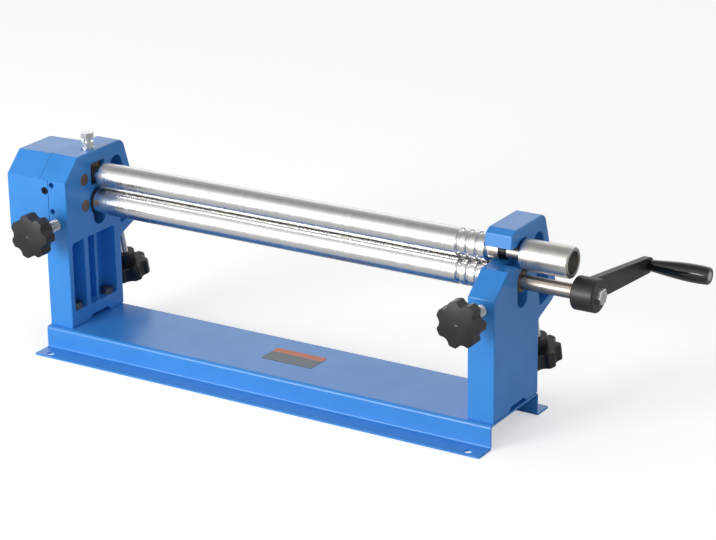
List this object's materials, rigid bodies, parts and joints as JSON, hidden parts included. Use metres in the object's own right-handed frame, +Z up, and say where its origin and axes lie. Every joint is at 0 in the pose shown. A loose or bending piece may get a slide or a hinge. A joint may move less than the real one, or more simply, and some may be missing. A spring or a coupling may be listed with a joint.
{
  "type": "slip roll machine",
  "caption": "Hand-cranked bench slip roll: two geared steel rolls and a rear bending roll between cast stands on a steel channel base, with star-knob adjusters and a swing-out upper roll.",
  "frame": {"origin": "middle of the base channel on the bench surface, at the centre of the four bench-bolt holes", "axes": "+X along the rolls towards the crank, +Y to the rear, +Z up"},
  "size_m": [0.9735, 0.343, 0.306],
  "materials": {
    "blue_enamel": "smooth blue enamel, semi-gloss",
    "ground_steel": "ground and polished steel with fine turning marks",
    "zinc_plate": "bright zinc plate",
    "black_plastic": "satin black moulded plastic",
    "gloss_black_grip": "glossy black moulded plastic",
    "bronze": "oiled brown bearing bronze",
    "black_cast_iron": "black textured paint on cast iron",
    "dark_steel": "oiled dark steel",
    "pin_steel": "dull brownish turned steel"
  },
  "bodies": {
    "frame": {"base_plate": "blue_enamel", "left_stand": "blue_enamel", "right_stand": "blue_enamel", "gear_cover": "blue_enamel", "cover_screws": "dark_steel", "pivot_bolt": "zinc_plate", "pivot_lock_nut": "zinc_plate", "pivot_washer": "zinc_plate", "idler_pins": "pin_steel", "idler_rings": "dark_steel", "pin_grub_screws": "dark_steel", "foot_bolts": "zinc_plate", "foot_washers": "zinc_plate", "foot_nuts": "zinc_plate"},
    "lift_washers": {"thrust_washers": "bronze"},
    "bushes": {"lower_bushes": "bronze"},
    "lower_drive": {"lower_roll": "ground_steel", "lower_roll_gear": "dark_steel", "lower_gear_ring": "dark_steel", "lower_gear_key": "dark_steel", "crank_arm": "black_cast_iron", "crank_bolt": "zinc_plate", "grip_spindle": "zinc_plate"},
    "crank_grip": {"grip": "gloss_black_grip"},
    "lower_idler": {"lower_idler_gear": "dark_steel"},
    "upper_idler": {"upper_idler_gear": "dark_steel"},
    "swing_block": {"upper_bearing_block": "bronze"},
    "upper_drive": {"upper_roll": "ground_steel", "upper_roll_gear": "dark_steel", "upper_gear_ring": "dark_steel", "upper_gear_key": "dark_steel", "block_retaining_ring": "dark_steel", "stop_ring": "dark_steel"},
    "sleeve": {"locking_sleeve": "ground_steel"},
    "left_plug": {"left_taper_plug": "ground_steel"},
    "right_plug": {"right_taper_plug": "ground_steel"},
    "left_adjuster": {"left_front_screw": "zinc_plate", "left_front_knob": "black_plastic"},
    "right_adjuster": {"right_front_screw": "zinc_plate", "right_front_knob": "black_plastic"},
    "rear_carriage": {"rear_bearing_blocks": "dark_steel"},
    "rear_spin": {"rear_roll": "ground_steel", "rear_roll_pins": "ground_steel"},
    "left_rear_adjuster": {"left_rear_screw": "zinc_plate", "left_rear_knob": "black_plastic"},
    "right_rear_adjuster": {"right_rear_screw": "zinc_plate", "right_rear_knob": "black_plastic"}
  },
  "joints": [
    {"name": "lower_roll_lift", "type": "slide", "parent": "frame", "child": "lift_washers", "axis": [0, 0, 1], "range_m": [-0.0023, 0.00065]},
    {"name": "bush_turn", "type": "hinge", "parent": "lift_washers", "child": "bushes", "pos_m": [0, 0.0184, 0.207], "axis": [1, 0, 0], "range_deg": [-11.1, 3.2]},
    {"name": "crank_turn", "type": "hinge", "parent": "bushes", "child": "lower_drive", "pos_m": [0, 0.0184, 0.207], "axis": [1, 0, 0], "continuous": true},
    {"name": "grip_turn", "type": "hinge", "parent": "lower_drive", "child": "crank_grip", "pos_m": [0.5, 0.20825, 0.18604], "axis": [1, 0, 0], "continuous": true},
    {"name": "lower_idler_turn", "type": "hinge", "parent": "frame", "child": "lower_idler", "pos_m": [-0.384, -0.0131, 0.20685], "axis": [1, 0, 0], "continuous": true},
    {"name": "upper_idler_turn", "type": "hinge", "parent": "frame", "child": "upper_idler", "pos_m": [-0.384, -0.0131, 0.24585], "axis": [1, 0, 0], "continuous": true},
    {"name": "upper_roll_swing", "type": "hinge", "parent": "frame", "child": "swing_block", "pos_m": [-0.339, 0.0184, 0.2457], "axis": [0, 0, 1], "range_deg": [-12, 0]},
    {"name": "upper_roll_turn", "type": "hinge", "parent": "swing_block", "child": "upper_drive", "pos_m": [0, 0.0184, 0.2457], "axis": [1, 0, 0], "continuous": true},
    {"name": "sleeve_slide", "type": "slide", "parent": "upper_drive", "child": "sleeve", "axis": [1, 0, 0], "range_m": [-0.023, 0]},
    {"name": "left_plug_slide", "type": "slide", "parent": "frame", "child": "left_plug", "axis": [0, 1, 0], "range_m": [-0.0057, 0.00161]},
    {"name": "right_plug_slide", "type": "slide", "parent": "frame", "child": "right_plug", "axis": [0, 1, 0], "range_m": [-0.0057, 0.00161]},
    {"name": "left_knob_turn", "type": "hinge", "parent": "left_plug", "child": "left_adjuster", "pos_m": [-0.3435, 0, 0.188], "axis": [0, 1, 0], "continuous": true},
    {"name": "right_knob_turn", "type": "hinge", "parent": "right_plug", "child": "right_adjuster", "pos_m": [0.3435, 0, 0.188], "axis": [0, 1, 0], "continuous": true},
    {"name": "rear_roll_lift", "type": "slide", "parent": "frame", "child": "rear_carriage", "axis": [0, -0.2164, 0.9763], "range_m": [-0.036, 0.018]},
    {"name": "rear_roll_turn", "type": "hinge", "parent": "rear_carriage", "child": "rear_spin", "pos_m": [0, 0.06649, 0.226], "axis": [1, 0, 0], "continuous": true},
    {"name": "left_rear_knob_turn", "type": "hinge", "parent": "rear_carriage", "child": "left_rear_adjuster", "pos_m": [-0.3435, 0.07039, 0.22686], "axis": [0, -0.2164, 0.9763], "continuous": true},
    {"name": "right_rear_knob_turn", "type": "hinge", "parent": "rear_carriage", "child": "right_rear_adjuster", "pos_m": [0.3435, 0.07039, 0.22686], "axis": [0, -0.2164, 0.9763], "continuous": true}
  ],
  "couplings": [
    {"joint": "bush_turn", "follows": "lower_roll_lift", "rad_per_m": 83.333},
    {"joint": "left_plug_slide", "follows": "lower_roll_lift", "ratio": 2.4751},
    {"joint": "right_plug_slide", "follows": "lower_roll_lift", "ratio": 2.4751},
    {"joint": "left_knob_turn", "follows": "lower_roll_lift", "rad_per_m": 7775.7},
    {"joint": "right_knob_turn", "follows": "lower_roll_lift", "rad_per_m": 7775.7},
    {"joint": "lower_idler_turn", "follows": "crank_turn", "ratio": -0.61538},
    {"joint": "upper_idler_turn", "follows": "crank_turn", "ratio": 0.61538},
    {"joint": "upper_roll_turn", "follows": "crank_turn", "ratio": -1},
    {"joint": "left_rear_knob_turn", "follows": "rear_roll_lift", "rad_per_m": 4188.8},
    {"joint": "right_rear_knob_turn", "follows": "rear_roll_lift", "rad_per_m": 4188.8}
  ]
}
